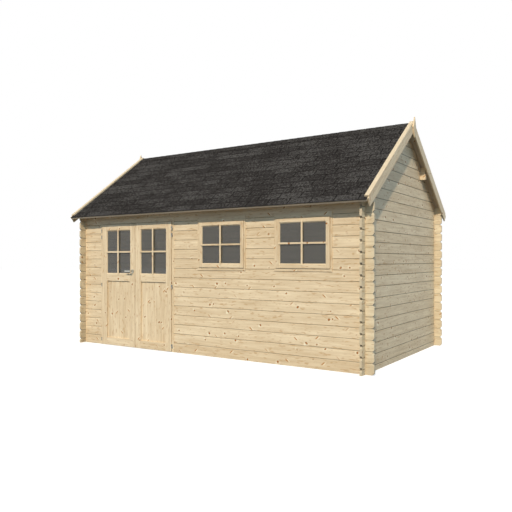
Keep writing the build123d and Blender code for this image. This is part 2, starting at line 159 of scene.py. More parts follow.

# Sawn ends, and painted shade and dirt on the logs
pith_side = -0.02
pith_side_spread = 0.08
pith_up = -0.03
pith_up_spread = 0.09
end_rings_to_metre = 260.0
end_ring_stray = 1.6
end_stray_scale = (25.0, 25.0)
end_late_rise = (0.30, 0.95)
end_ring_share = 0.45
pore_scale = (900.0, 900.0)
pore_share = 0.35
end_facing = 0.8  # a face that looks along the grain by more is a sawn end
log_end_facing = 0.6  # low enough to take in the bevels of the log ends
wall_jump = 40.0  # gives the logs of facing walls other numbers
side_jump = 0.31  # gives the boards at the two gables other numbers
joint_core = 0.0006
joint_shade_share = 0.80
eave_joint_reach = 0.0038  # how far the painted shade and dirt reach from a joint
gable_joint_reach = 0.0072
# painted shade on the lower bevels of the log ends: how far a face looks down, and how dark it goes
lower_bevel_facing = -0.3
bevel_shade_share = 0.70
stub_fade = 0.004

# Finish of shingles, panes and metal
granule_scale = 420.0
granule_share = 0.6
course_jump = 7.31
shade_scale = 1.7
shade_limits = (0.36, 0.68)
shade_share = 0.46
patch_scale = 9.0
patch_share = 0.2
speckle_scale = (40.0, 28.0)
speckle_rough = 0.6
speckle_share = 4.2
tab_share = 0.14
pale_level = -2.50  # the five shares above add to this
foot_reach = (0.04, 0.13)  # part of a course next to the foot of its tabs
foot_share = 0.32
coated_facing = 0.9  # faces that look off the slope by less have no granules
felt_number = 0.5  # the felt sheet is numbered below this, the courses above
shingle_roughness = 0.82
granule_roughness = 0.15
granule_bump = (0.5, 0.001)
pane_clearness = 0.80
pane_gleam = 0.20  # a dull film on the panes
pane_roughness = 0.02
pane_index = 1.5
ripple_scale = 3.0
ripple_bump = (0.05, 0.002)
wear_scale = 90.0
wear_limits = (0.3, 0.7)
scratch_scale = 900.0
scratch_bump = (0.08, 0.0004)
zinc_roughness = (0.35, 0.55)
handle_roughness = (0.25, 0.38)

# Light and camera
sun_travel = Vector((-0.265, 0.746, -0.611))
sun_strength = 3.1
sun_colour = (1.000, 0.863, 0.713)
sun_spread = math.radians(1.5)
fill_travel = Vector((0.45, -0.75, -0.48))  # a weak lamp behind, for the back and the left gable
fill_strength = 1.5
fill_colour = (1.000, 0.900, 0.780)
fill_spread = math.radians(25)
sky_colour = (0.345, 0.505, 0.665, 1)
floor_colour = (0.80, 0.80, 0.80, 1)
floor_bounce = (0.14, 0.14, 0.14, 1)  # what the floor throws back at the walls
floor_roughness = 0.9
floor_glow = 0.32
floor_size = 60.0
camera_place = (4.9396, -7.6099, 1.3171)
camera_yaw = math.radians(33.894)
camera_lens = 40.34
camera_shift = (0.0168, 0.0077)


def put(tree, kind, values=(), **settings):
    """Add a node; values go to its inputs by name or number, and a socket among them is linked."""
    made = tree.nodes.new(kind)
    for name, value in settings.items():
        setattr(made, name, value)
    for key, value in dict(values).items():
        if isinstance(value, bpy.types.NodeSocket):
            tree.links.new(value, made.inputs[key])
        else:
            made.inputs[key].default_value = value
    return made


def calc(tree, operation, *values):
    """An operation on one to three numbers or sockets."""
    return put(tree, "ShaderNodeMath", dict(enumerate(values)), operation=operation).outputs[0]


def times(tree, first, second):
    """Two numbers or sockets multiplied."""
    return calc(tree, "MULTIPLY", first, second)


def weigh(tree, level, *terms):
    """A level, plus each term's value times its share."""
    for value, share in terms:
        level = calc(tree, "MULTIPLY_ADD", value, share, level)
    return level


def either_way(tree, number):
    """-1 or 1, for a random number below or above a half."""
    return calc(tree, "SIGN", calc(tree, "SUBTRACT", number, 0.5))


def clamp(tree, value):
    """A value held between 0 and 1."""
    return put(tree, "ShaderNodeClamp", {0: value}).outputs[0]


def rise(tree, value, start, end, low=0.0, high=1.0):
    """A smooth step from low to high while value goes from start to end."""
    limits = {"Value": value, "From Min": start, "From Max": end, "To Min": low, "To Max": high}
    return put(tree, "ShaderNodeMapRange", limits, interpolation_type="SMOOTHSTEP").outputs["Result"]


def fall(tree, value, start, end):
    """A smooth step from 1 to 0 while value goes from start to end."""
    return rise(tree, value, start, end, 1.0, 0.0)


def blend(tree, factor, first, second, mode="MIX"):
    """Two colours mixed by a factor."""
    values = {0: factor, 6: first, 7: second}
    return put(tree, "ShaderNodeMix", values, data_type="RGBA", blend_type=mode).outputs[2]


def vector(tree, x, y, z=0.0):
    """Three numbers or sockets as one vector."""
    return put(tree, "ShaderNodeCombineXYZ", {0: x, 1: y, 2: z}).outputs[0]


def split(tree, whole):
    """The x, y and z of a vector."""
    return put(tree, "ShaderNodeSeparateXYZ", {0: whole}).outputs


def split_colour(tree, colour):
    """The red, green and blue of a colour."""
    return put(tree, "ShaderNodeSeparateColor", {0: colour}).outputs


def reach_of(tree, x, y):
    """Length of a flat vector."""
    return put(tree, "ShaderNodeVectorMath", {0: vector(tree, x, y)}, operation="LENGTH").outputs["Value"]


def stretch(tree, along, across, scale, seed=0.0):
    """A place in a pattern that has one scale along the grain and one across it."""
    return vector(tree, times(tree, along, scale[0]), times(tree, across, scale[1]), seed)


def noise(tree, where, detail=2.0, rough=0.5, scale=1.0):
    """Soft noise from 0 to 1, with scale lumps to a unit."""
    values = {"Vector": where, "Scale": scale, "Detail": detail, "Roughness": rough}
    return put(tree, "ShaderNodeTexNoise", values).outputs["Fac"]


def lot(tree, number):
    """A random number from 0 to 1 for each value of number."""
    return put(tree, "ShaderNodeTexWhiteNoise", {"W": number}, noise_dimensions="1D").outputs["Value"]


def face_value(tree, name):
    """A number that the piece keeps on each of its faces."""
    return put(tree, "ShaderNodeAttribute", attribute_name=name).outputs["Fac"]


def add_bump(tree, shader, height, bump):
    """Relief of a given strength and depth."""
    strength, depth = bump
    values = {"Height": height, "Strength": strength, "Distance": depth}
    tree.links.new(put(tree, "ShaderNodeBump", values).outputs[0], shader.inputs["Normal"])


def new_group(name, inputs, outputs):
    """A shader node group with float inputs and the outputs named with their types."""
    group = bpy.data.node_groups.new(name, "ShaderNodeTree")
    for socket in inputs:
        group.interface.new_socket(socket, in_out="INPUT", socket_type="NodeSocketFloat")
    for socket, kind in outputs.items():
        group.interface.new_socket(socket, in_out="OUTPUT", socket_type=kind)
    source = group.nodes.new("NodeGroupInput")
    result = group.nodes.new("NodeGroupOutput")
    return group, source.outputs, result.inputs


def scatter(tree, along, across, spacing):
    """Offsets from the nearest of some scattered points, and three random numbers for that point."""
    place = vector(tree, calc(tree, "DIVIDE", along, spacing[0]), calc(tree, "DIVIDE", across, spacing[1]))
    pattern = {"Vector": place, "Scale": 1.0}
    cell = put(tree, "ShaderNodeTexVoronoi", pattern, voronoi_dimensions="2D").outputs
    ends = {0: place, 1: cell["Position"]}
    apart = split(tree, put(tree, "ShaderNodeVectorMath", ends, operation="SUBTRACT").outputs[0])
    lots = split_colour(tree, cell["Color"])
    return times(tree, apart[0], spacing[0]), times(tree, apart[1], spacing[1]), lots


def round_knots(tree, along, across):
    """Masks of the knots, their hearts, the wood round them and a pale flare, and how the rings part."""
    off_along, off_across, lots = scatter(tree, along, across, knot_spacing)
    size = weigh(tree, knot_radius, (lots[0], knot_growth))
    shown = rise(tree, lots[1], *knot_limits)
    skewed = weigh(tree, off_along, (off_across, calc(tree, "SUBTRACT", lots[2], 0.5)))
    spread = calc(tree, "DIVIDE", reach_of(tree, skewed, off_across), size)
    knot = times(tree, fall(tree, spread, *knot_rim_reach), shown)
    heart = fall(tree, spread, *knot_heart_reach)
    eye = times(tree, fall(tree, spread, *eye_reach), shown)
    side = times(tree, size, either_way(tree, lots[2]))
    turn = times(tree, size, either_way(tree, lots[0]))
    aim_along = weigh(tree, off_along, (side, flare_along))
    aim_across = weigh(tree, off_across, (turn, flare_across))
    away = calc(tree, "DIVIDE", reach_of(tree, aim_along, aim_across), size)
    flare = times(tree, fall(tree, away, *flare_reach), times(tree, shown, lots[2]))
    parting = times(tree, times(tree, eye, off_across), ring_parting)
    return knot, heart, eye, flare, parting


def spike_knots(tree, along, across):
    """Masks of branches that were cut lengthwise, and of the pale wood beside them."""
    off_along, off_across, lots = scatter(tree, along, across, spike_spacing)
    lean = times(tree, either_way(tree, lots[0]), spike_lean)
    aside = weigh(tree, off_along, (off_across, lean))
    spike = fall(tree, calc(tree, "ABSOLUTE", aside), *spike_half_width)
    sheen = times(tree, rise(tree, aside, *sheen_rise), fall(tree, aside, *sheen_fall))
    ends = fall(tree, calc(tree, "ABSOLUTE", off_across), *spike_half_length)
    ends = times(tree, ends, rise(tree, lots[1], *spike_limits))
    return times(tree, spike, ends), times(tree, sheen, ends)


def build_spruce():
    """Planed spruce: wavy growth rings, fine fibre, round knots and slanting spike knots."""
    outputs = {"Color": "NodeSocketColor", "Roughness": "NodeSocketFloat", "Height": "NodeSocketFloat"}
    group, source, result = new_group("planed_spruce", ("Along", "Across", "Board"), outputs)
    board = source["Board"]
    jump = times(group, board, board_jump)
    along = calc(group, "ADD", source["Along"], jump)
    across = weigh(group, source["Across"], (jump, board_jump_across))
    knot, heart, eye, flare, parting = round_knots(group, along, across)
    spike, sheen = spike_knots(group, along, across)

    # growth rings, parted round the knots
    run = calc(group, "ADD", across, parting)
    stray = noise(group, stretch(group, along, across, ring_stray_scale, board))
    rings = weigh(group, times(group, stray, ring_stray), (run, rings_to_metre))
    phase = calc(group, "FRACT", rings)
    late = times(group, rise(group, phase, *late_rise), fall(group, phase, *late_fall))
    fibre = noise(group, stretch(group, along, run, fibre_scale), 3.0, fibre_rough)
    cloud = noise(group, stretch(group, along, across, cloud_scale, board), 3.0)
    streak = noise(group, stretch(group, along, run, streak_scale, board))
    spots = noise(group, stretch(group, along, across, fleck_scale, board), 1.0)
    fleck = rise(group, spots, *fleck_limits)

    grain = weigh(
        group, grain_level, (late, late_share), (fibre, fibre_share), (cloud, cloud_share),
        (streak, streak_share), (lot(group, board), tone_share),
    )
    grain = clamp(group, grain)
    wood = blend(group, grain, early_wood, late_wood)
    wood = blend(group, times(group, fleck, fleck_share), wood, fleck_wood)
    wood = blend(group, times(group, eye, eye_share), wood, pale_wood)
    pale = calc(group, "MAXIMUM", flare, sheen)
    wood = blend(group, times(group, pale, flare_share), wood, pale_wood)
    wood = blend(group, times(group, spike, spike_share), wood, knot_heart)
    wood = blend(group, knot, wood, blend(group, heart, knot_rim, knot_heart))
    group.links.new(wood, result["Color"])
    group.links.new(weigh(group, wood_roughness, (grain, late_polish)), result["Roughness"])
    group.links.new(weigh(group, 0.0, (late, relief_share), (fibre, relief_share)), result["Height"])
    return group


def build_end_grain():
    """Sawn log and board ends: arcs of growth rings, and pores."""
    group, source, result = new_group("sawn_end", ("Side", "Up", "Board"), {"Color": "NodeSocketColor"})
    board = source["Board"]
    side = calc(group, "ADD", source["Side"], weigh(group, pith_side, (board, pith_side_spread)))
    up = calc(group, "ADD", source["Up"], weigh(group, pith_up, (lot(group, board), pith_up_spread)))
    stray = noise(group, stretch(group, side, up, end_stray_scale))
    radius = reach_of(group, side, up)
    turns = weigh(group, times(group, stray, end_ring_stray), (radius, end_rings_to_metre))
    rings = rise(group, calc(group, "FRACT", turns), *end_late_rise)
    pores = noise(group, stretch(group, side, up, pore_scale))
    shade = weigh(group, 0.0, (pores, pore_share), (rings, end_ring_share))
    group.links.new(blend(group, shade, end_pale, end_dark), result["Color"])
    return group


spruce = build_spruce()
sawn_end = build_end_grain()


def new_material(name, **settings):
    """A material with constant values on its shader's own sockets."""
    material = bpy.data.materials.new(name)
    material.use_nodes = True
    shader = material.node_tree.nodes["Principled BSDF"]
    for socket, value in settings.items():
        shader.inputs[socket.replace("_", " ")].default_value = value
    return material, material.node_tree, shader


def dress_wood(tree, shader, along, across, board, cut=None, dark=None, shade=None):
    """Spruce along the grain. A cut is a mask of the sawn ends and two ways over them."""
    inputs = {"Along": along, "Across": across, "Board": board}
    wood = put(tree, "ShaderNodeGroup", inputs, node_tree=spruce).outputs
    colour = wood["Color"]
    if cut is not None:
        end, side, up = cut
        inputs = {"Side": side, "Up": up, "Board": board}
        sawn = put(tree, "ShaderNodeGroup", inputs, node_tree=sawn_end).outputs
        colour = blend(tree, end, colour, sawn["Color"])
    # painted shade and dirt mixed into the colour
    if dark is not None:
        colour = blend(tree, dark, colour, shade_and_dirt_wood)
    # painted shade multiplied over the colour
    if shade is not None:
        colour = blend(tree, 1.0, colour, shade, "MULTIPLY")
    tree.links.new(colour, shader.inputs["Base Color"])
    tree.links.new(wood["Roughness"], shader.inputs["Roughness"])
    add_bump(tree, shader, wood["Height"], wood_bump)


def place_sockets(tree):
    """Object coordinates and object normals, as x, y and z sockets."""
    where = put(tree, "ShaderNodeTexCoord").outputs
    return split(tree, where["Object"]), split(tree, where["Normal"])


def log_wood(name, long_axis, wall_axis, first_joint, joint_reach, corner):
    """Logs along one axis, in courses that start at first_joint, each log with its own grain."""
    material, tree, shader = new_material(name)
    place, facing = place_sockets(tree)
    course = calc(tree, "DIVIDE", calc(tree, "SUBTRACT", place[2], first_joint), log_height)
    wall = calc(tree, "SIGN", place[wall_axis])
    board = lot(tree, weigh(tree, calc(tree, "FLOOR", course), (wall, wall_jump)))
    across = calc(tree, "ADD", place[2], place[wall_axis])
    lengthwise = calc(tree, "ABSOLUTE", facing[long_axis])
    end = calc(tree, "GREATER_THAN", lengthwise, log_end_facing)
    share = calc(tree, "FRACT", course)
    up = times(tree, calc(tree, "SUBTRACT", share, 0.5), log_height)
    # painted shade and dirt darken the joints, and painted shade darkens the lower bevels of the log ends
    nearest = calc(tree, "MINIMUM", share, calc(tree, "SUBTRACT", 1.0, share))
    joint = rise(tree, times(tree, nearest, log_height), joint_core, joint_reach, joint_shade_share, 0.0)
    # painted shade on the downward-facing bevels of the log ends
    below = calc(tree, "LESS_THAN", times(tree, lengthwise, facing[2]), lower_bevel_facing)
    dark = calc(tree, "MAXIMUM", joint, times(tree, below, bevel_shade_share))
    # painted shade greys the log ends past the corners
    past = calc(tree, "SUBTRACT", calc(tree, "ABSOLUTE", place[long_axis]), corner)
    shade = blend(tree, rise(tree, past, -stub_fade, stub_fade), white, stub_painted_shade)
    dress_wood(tree, shader, place[long_axis], across, board, (end, across, up), dark, shade)
    return material


def cad_wood(name, grain, across, lengthwise=None):
    """Spruce on a whole node.

    Grain and across give the two ways over the wood from x, y and z. Lengthwise gives how far a face
    looks along the grain, where sawn ends show.
    """
    material, tree, shader = new_material(name)
    place, facing = place_sockets(tree)
    sides = weigh(tree, calc(tree, "SIGN", place[1]), (calc(tree, "SIGN", place[0]), side_jump))
    aside = across(tree, place)
    cut = None
    if lengthwise is not None:
        end = calc(tree, "GREATER_THAN", lengthwise(tree, facing), end_facing)
        cut = (end, aside, place[2])
    dress_wood(tree, shader, grain(tree, place), aside, lot(tree, sides), cut)
    return material


def joinery_wood(name, shade=None):
    """Spruce that follows the grain laid in each board's own map."""
    material, tree, shader = new_material(name)
    run = split(tree, put(tree, "ShaderNodeUVMap", uv_map="grain").outputs[0])
    cut = (face_value(tree, "sawn"), run[1], run[0])
    dress_wood(tree, shader, run[0], run[1], face_value(tree, "board"), cut, shade=shade)
    return material


def straight_wood(name, axis):
    """Spruce on a whole node with its grain along one axis."""
    first, second = [index for index in range(3) if index != axis]

    def grain(tree, place):
        return place[axis]

    def across(tree, place):
        return calc(tree, "ADD", place[first], place[second])

    def lengthwise(tree, facing):
        return calc(tree, "ABSOLUTE", facing[axis])

    return cad_wood(name, grain, across, lengthwise)


def casing_wood(sash_low, sash_high):
    """Window casing: level grain over and under the sash, upright grain beside it."""

    def pick(tree, place, upright, level):
        over = calc(tree, "GREATER_THAN", place[2], sash_high)
        under = calc(tree, "LESS_THAN", place[2], sash_low)
        rail = calc(tree, "ADD", over, under)
        return weigh(tree, upright, (rail, calc(tree, "SUBTRACT", level, upright)))

    def grain(tree, place):
        return pick(tree, place, place[2], place[0])

    def across(tree, place):
        return calc(tree, "ADD", pick(tree, place, place[0], place[2]), place[1])

    return cad_wood("casing_spruce", grain, across)


def slope_grain(tree, place):
    """Distance up either roof slope."""
    return weigh(tree, 0.0, (calc(tree, "ABSOLUTE", place[1]), -pitch_cos), (place[2], pitch_sin))


def slope_across(tree, place):
    """Distance square off either roof slope, with the thickness along x."""
    off = weigh(tree, 0.0, (calc(tree, "ABSOLUTE", place[1]), pitch_sin), (place[2], pitch_cos))
    return calc(tree, "ADD", off, place[0])


def slope_lengthwise(tree, facing):
    """How far a face looks along either roof slope."""
    level = calc(tree, "ABSOLUTE", facing[1])
    height = calc(tree, "ABSOLUTE", facing[2])
    return weigh(tree, 0.0, (level, pitch_cos), (height, pitch_sin))


def shingle_felt():
    """Bitumen shingles: dark mineral granules, with paler blends from tab to tab."""
    material, tree, shader = new_material("mineral_shingle", Specular_IOR_Level=0.0)
    place, facing = place_sockets(tree)
    where = vector(tree, *place)
    along, up = place[0], slope_grain(tree, place)
    tab = face_value(tree, "board")
    number = calc(tree, "FLOOR", tab)
    granules = put(tree, "ShaderNodeTexVoronoi", {"Vector": where, "Scale": granule_scale}).outputs
    granule = split_colour(tree, granules["Color"])[0]
    course = times(tree, number, course_jump)
    shades = noise(tree, vector(tree, times(tree, along, shade_scale), course), 1.0)
    patches = noise(tree, where, 3.0, scale=patch_scale)
    speckle = noise(tree, stretch(tree, along, up, speckle_scale), 3.0, speckle_rough)
    pale = weigh(
        tree, pale_level, (calc(tree, "FRACT", tab), tab_share),
        (rise(tree, shades, *shade_limits), shade_share), (patches, patch_share),
        (speckle, speckle_share), (granule, granule_share),
    )
    # the foot of each course on the slopes is darker
    foot = slope_place("front").translation
    eave = foot.z * pitch_sin + foot.y * pitch_cos - tab_lip
    phase = calc(tree, "FRACT", calc(tree, "DIVIDE", calc(tree, "SUBTRACT", up, eave), tab_exposure))
    on_slope = calc(tree, "LESS_THAN", number, ridge_number)
    edge = times(tree, rise(tree, phase, *foot_reach, foot_share, 0.0), on_slope)
    pale = clamp(tree, calc(tree, "SUBTRACT", pale, edge))
    # the felt below and the cut edges of the tabs are bare bitumen
    level = calc(tree, "ABSOLUTE", facing[1])
    outward = weigh(tree, 0.0, (facing[2], pitch_cos), (level, pitch_sin))
    coated = calc(tree, "GREATER_THAN", outward, coated_facing)
    coated = times(tree, coated, calc(tree, "GREATER_THAN", number, felt_number))
    colour = blend(tree, coated, bitumen, blend(tree, pale, shingle_dark, shingle_light))
    tree.links.new(colour, shader.inputs["Base Color"])
    rough = weigh(tree, shingle_roughness, (granule, granule_roughness))
    tree.links.new(rough, shader.inputs["Roughness"])
    add_bump(tree, shader, granules["Distance"], granule_bump)
    return material


def window_glass():
    """Grey see-through glass with a dull film and a faint unevenness."""
    material, tree, shader = new_material(
        "float_glass", Base_Color=pane_tint, Roughness=pane_roughness, IOR=pane_index,
        Transmission_Weight=pane_clearness, Specular_IOR_Level=pane_gleam,
    )
    where = put(tree, "ShaderNodeTexCoord").outputs["Object"]
    add_bump(tree, shader, noise(tree, where, 1.0, scale=ripple_scale), ripple_bump)
    return material


def worn_metal(name, tint, roughness):
    """Metal with patches of brighter and duller finish, and fine scratches."""
    material, tree, shader = new_material(name, Base_Color=tint, Metallic=1.0)
    where = put(tree, "ShaderNodeTexCoord").outputs["Object"]
    wear = noise(tree, where, 4.0, scale=wear_scale)
    tree.links.new(rise(tree, wear, *wear_limits, *roughness), shader.inputs["Roughness"])
    add_bump(tree, shader, noise(tree, where, scale=scratch_scale), scratch_bump)
    return material


def add_object(name, data):
    """A new object at the origin, in the scene."""
    made = bpy.data.objects.new(name, data)
    bpy.context.scene.collection.objects.link(made)
    return made


class Boards:
    """Boxes with eased edges that become one piece. Each board's grain runs along one of its own axes."""

    def __init__(self):
        self.mesh = bmesh.new()
        self.number = self.mesh.faces.layers.int.new("number")
        self.grains = []

    def note(self, verts, along, place, course):
        """Number the faces of a new board and note how its grain runs, its course and its own tone."""
        for face in {face for vert in verts for face in vert.link_faces}:
            face[self.number] = len(self.grains)
        self.grains.append((along, place.inverted(), course + chance.random()))

    def add(self, low, high, along, place=Matrix.Identity(4), course=0):
        """A board from corner to corner, in the frame that place sets."""
        low, high = Vector(low), Vector(high)
        shape = Matrix.Translation((low + high) / 2) @ Matrix.Diagonal((*(high - low), 1))
        verts = bmesh.ops.create_cube(self.mesh, size=1, matrix=place @ shape)["verts"]
        self.note(verts, along, place, course)
        return verts

    def add_section(self, points, length, place, course=0):
        """A bar of a given section in y and z, drawn out along x."""
        verts = [self.mesh.verts.new(place @ Vector((0, y, z))) for y, z in points]
        face = self.mesh.faces.new(verts)
        drawn = bmesh.ops.extrude_face_region(self.mesh, geom=[face], use_keep_orig=True)["geom"]
        far = [part for part in drawn if isinstance(part, bmesh.types.BMVert)]
        bmesh.ops.translate(self.mesh, verts=far, vec=place.to_3x3() @ Vector((length, 0, 0)))
        sides = {face for vert in verts + far for face in vert.link_faces}
        bmesh.ops.recalc_face_normals(self.mesh, faces=list(sides))
        self.note(verts + far, 0, place, course)

    def lay_grain(self):
        """Map each face along and across its board's grain, in metres, and mark the sawn ends."""
        grain = self.mesh.loops.layers.uv.new("grain")
        board = self.mesh.faces.layers.float.new("board")
        sawn = self.mesh.faces.layers.float.new("sawn")
        for face in self.mesh.faces:
            along, back, value = self.grains[face[self.number]]
            face[board] = value
            face[sawn] = float(abs((back.to_3x3() @ face.normal)[along]) > end_facing)
            for loop in face.loops:
                spot = back @ loop.vert.co
                loop[grain].uv = (spot[along], sum(spot) - spot[along])

    def finish(self, name, body, material, ease):
        """Ease the edges and hand the boards over as one piece that rides on a body."""
        outer = [edge for edge in self.mesh.edges if edge.is_convex]
        sharp = [edge for edge in outer if edge.calc_face_angle(0.0) > sharp_edge]
        bmesh.ops.bevel(
            self.mesh, geom=sharp, offset=ease, offset_type="OFFSET", affect="EDGES",
            segments=ease_segments, profile=0.5, material=-1, clamp_overlap=True,
        )
        self.mesh.normal_update()
        self.lay_grain()
        mesh = bpy.data.meshes.new(name)
        self.mesh.to_mesh(mesh)
        self.mesh.free()
        mesh.materials.append(material)
        piece = add_object(name, mesh)
        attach(piece, body)
        return piece


def inset_box(node):
    """The opening in front of a pane or panel, whose edges sit in the frame's rebate."""
    low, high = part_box(node)
    edge = Vector((rebate, 0, rebate))
    return low + edge, high - edge


def chamfer_stile(boards, edge, inward, front, pane):
    """Cut the chamfer beside a pane into the front edge of the newest stile, with a mitre at each end."""
    mesh = boards.mesh
    bottom, top = pane[0].z, pane[1].z
    heights = (bottom - pane_chamfer, bottom, top, top + pane_chamfer)
    cuts = [((0, 0, height), (0, 0, 1)) for height in heights]
    cuts += [((edge + inward * pane_chamfer, 0, 0), (1, 0, 0)), ((0, front + pane_chamfer, 0), (0, 1, 0))]

    def parts():
        faces = [face for face in mesh.faces if face[boards.number] == len(boards.grains) - 1]
        lines = list(dict.fromkeys(line for face in faces for line in face.edges))
        return faces, lines, list(dict.fromkeys(vert for face in faces for vert in face.verts))

    def corner(*spot):
        return min(parts()[2], key=lambda vert: (vert.co - Vector(spot)).length)

    for spot, way in cuts:
        faces, lines, verts = parts()
        bmesh.ops.bisect_plane(mesh, geom=faces + lines + verts, plane_co=spot, plane_no=way)
    arris = [corner(edge, front, height) for height in (bottom, top)]
    bmesh.ops.translate(mesh, verts=arris, vec=(0, pane_chamfer, 0))
    bmesh.ops.remove_doubles(mesh, verts=parts()[2], dist=tiny)
    for stop, height in ((heights[0], bottom), (heights[3], top)):
        outer = corner(edge + inward * pane_chamfer, front, stop)
        inner = corner(edge, front + pane_chamfer, height)
        face = next(face for face in outer.link_faces if face in inner.link_faces)
        bmesh.utils.face_split(face, outer, inner)
    faces, lines, verts = parts()
    bmesh.ops.dissolve_limit(
        mesh, angle_limit=flat_edge, use_dissolve_boundaries=False, verts=verts, edges=lines,
    )


def add_frame(boards, outer, openings):
    """Two stiles, and rails below, between and above the openings. The last opening is the pane's."""
    low, high = outer
    pane = openings[-1]
    left, right = pane[0].x, pane[1].x
    boards.add(low, (left, high.y, high.z), along=2)
    chamfer_stile(boards, left, -1, low.y, pane)
    boards.add((right, low.y, low.z), high, along=2)
    chamfer_stile(boards, right, 1, low.y, pane)
    edges = [low.z] + [spot.z for opening in openings for spot in opening] + [high.z]
    for bottom, top in zip(edges[::2], edges[1::2]):
        section = [(high.y, bottom), (high.y, top)]
        if top == pane[0].z:
            section += [(low.y + pane_chamfer, top), (low.y, top - pane_chamfer)]
        else:
            section += [(low.y, top)]
        if bottom == pane[1].z:
            section += [(low.y, bottom + pane_chamfer), (low.y + pane_chamfer, bottom)]
        else:
            section += [(low.y, bottom)]
        boards.add_section(section, right - left, Matrix.Translation((left, 0, 0)))


def add_bar(boards, low, high, along):
    """A glazing bar whose ends are cut back behind, to sit on the chamfer round the pane."""
    verts = boards.add(low, high, along)
    rear = [vert for vert in verts if vert.co.y > high[1] - bar_ease]
    for end, inward in ((low[along], bar_depth), (high[along], -bar_depth)):
        heel = [vert for vert in rear if abs(vert.co[along] - end) < bar_ease]
        step = Vector((0, 0, 0))
        step[along] = inward
        bmesh.ops.translate(boards.mesh, verts=heel, vec=step)


def build_cross(name, pane, outer, body):
    """Glazing bars in a cross on both sides of a pane.

    Outside they stand a little ahead of the frame, with their ends on its chamfer. Inside they lie
    level with it.
    """
    low, high = pane
    middle = (low + high) / 2
    half = bar_width / 2
    front, back = outer[0].y - bar_proud, outer[1].y
    bars = Boards()
    upright = (middle.x - half, front - bar_halving, low.z - bar_lap)
    add_bar(bars, upright, (middle.x + half, front + bar_depth, high.z + bar_lap), 2)
    level = (low.x - bar_lap, front, middle.z - half)
    add_bar(bars, level, (high.x + bar_lap, front + bar_depth, middle.z + half), 0)
    bars.add((middle.x - half, back - bar_depth, low.z), (middle.x + half, back, high.z), 2)
    bars.add((low.x, back - bar_depth, middle.z - half), (high.x, back - bar_halving, middle.z + half), 0)
    return bars.finish(name, body, board_spruce, bar_ease)


def build_leaf(side):
    """Door leaf: stiles and rails, a boarded panel and a glazing cross."""
    body = f"{side}_leaf"
    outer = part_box(f"{side}_leaf_frame")
    pane = inset_box(f"{side}_leaf_glass")
    panel = inset_box(f"{side}_leaf_panel")
    rails = Boards()
    add_frame(rails, outer, (panel, pane))
    joinery = rails.finish(f"{side}_leaf_joinery", body, board_spruce, joinery_ease)
    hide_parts(f"{side}_leaf_frame")

    low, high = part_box(f"{side}_leaf_panel")
    count = round((panel[1].x - panel[0].x) / panel_board_width)
    width = (panel[1].x - panel[0].x) / count
    lining = Boards()
    edges = [low.x] + [panel[0].x + index * width for index in range(count + 1)] + [high.x]
    for left, right in zip(edges, edges[1:]):
        lining.add((left, low.y, low.z), (right, high.y, high.z), along=2)
    boarding = lining.finish(f"{side}_leaf_boarding", body, board_spruce, panel_board_joint)
    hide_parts(f"{side}_leaf_panel")
    build_cross(f"{side}_leaf_bars", pane, outer, body)


def build_window(side):
    """Window sash: stiles and rails, and a glazing cross."""
    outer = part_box(f"{side}_window_sash")
    pane = inset_box(f"{side}_window_glass")
    rails = Boards()
    add_frame(rails, outer, (pane,))
    sash = rails.finish(f"{side}_window_joinery", "shed", board_spruce, joinery_ease)
    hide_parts(f"{side}_window_sash")
    build_cross(f"{side}_window_bars", pane, outer, "shed")


def slope_place(side):
    """Frame of a roof slope, with its origin at the foot of the boards' lower face.

    X runs along the ridge, y up the slope and z off the boards.
    """
    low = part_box("front_roof_boards")[0]
    foot = Vector((0, low.y + roof_board_thickness * pitch_sin, low.z))
    half_turn = Matrix.Rotation(math.pi if side == "back" else 0.0, 4, "Z")
    return half_turn @ Matrix.Translation(foot) @ Matrix.Rotation(roof_pitch, 4, "X")


def slope_length():
    """Length of the boards' lower face, from the eave to the ridge."""
    return -slope_place("front").translation.y / pitch_cos


def build_roof_boards(side):
    """Tongued and grooved boards from eave to ridge, with open V joints below."""
    place = slope_place(side)
    low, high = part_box(f"{side}_roof_boards")
    count = round((high.x - low.x) / roof_board_width)
    width = (high.x - low.x) / count
    boards = Boards()
    for index in range(count):
        left = low.x + index * width
        boards.add((left, 0, 0), (left + width, slope_length(), roof_board_thickness), 1, place)
    deck = boards.finish(f"{side}_roof_decking", "shed", shaded_deck_spruce, roof_board_joint)
    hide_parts(f"{side}_roof_boards")


def build_shingles(side):
    """Courses of shingle tabs on a felt sheet, each course over the head of the one below."""
    place = slope_place(side)
    low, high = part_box(f"{side}_shingles")
    length = slope_length()
    bed = roof_board_thickness + felt_thickness
    tilt = Matrix.Rotation(-math.atan(tab_thickness / tab_exposure), 4, "X")
    roof = Boards()
    roof.add((low.x, 0, roof_board_thickness), (high.x, length, bed), 0, place)
    for course in range(math.ceil((length + tab_lip) / tab_exposure)):
        foot = course * tab_exposure - tab_lip
        reach = min(tab_exposure + tab_overlap, length - foot)
        left = low.x - (course % 2) * second_shift - (course % 3) * third_shift
        while left < high.x:
            start = max(left, low.x)
            end = min(left + tab_width - tab_slot, high.x)
            if end - start > tab_slot:
                wander = chance.uniform(0, tab_wander)
                seat = place @ Matrix.Translation((0, foot + wander, bed + tab_thickness)) @ tilt
                roof.add((start, 0, 0), (end, reach, tab_thickness), 0, seat, course + 1)
            left += tab_width
    cover = roof.finish(f"{side}_shingle_tabs", "shed", felt, tab_ease)
    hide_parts(f"{side}_shingles")


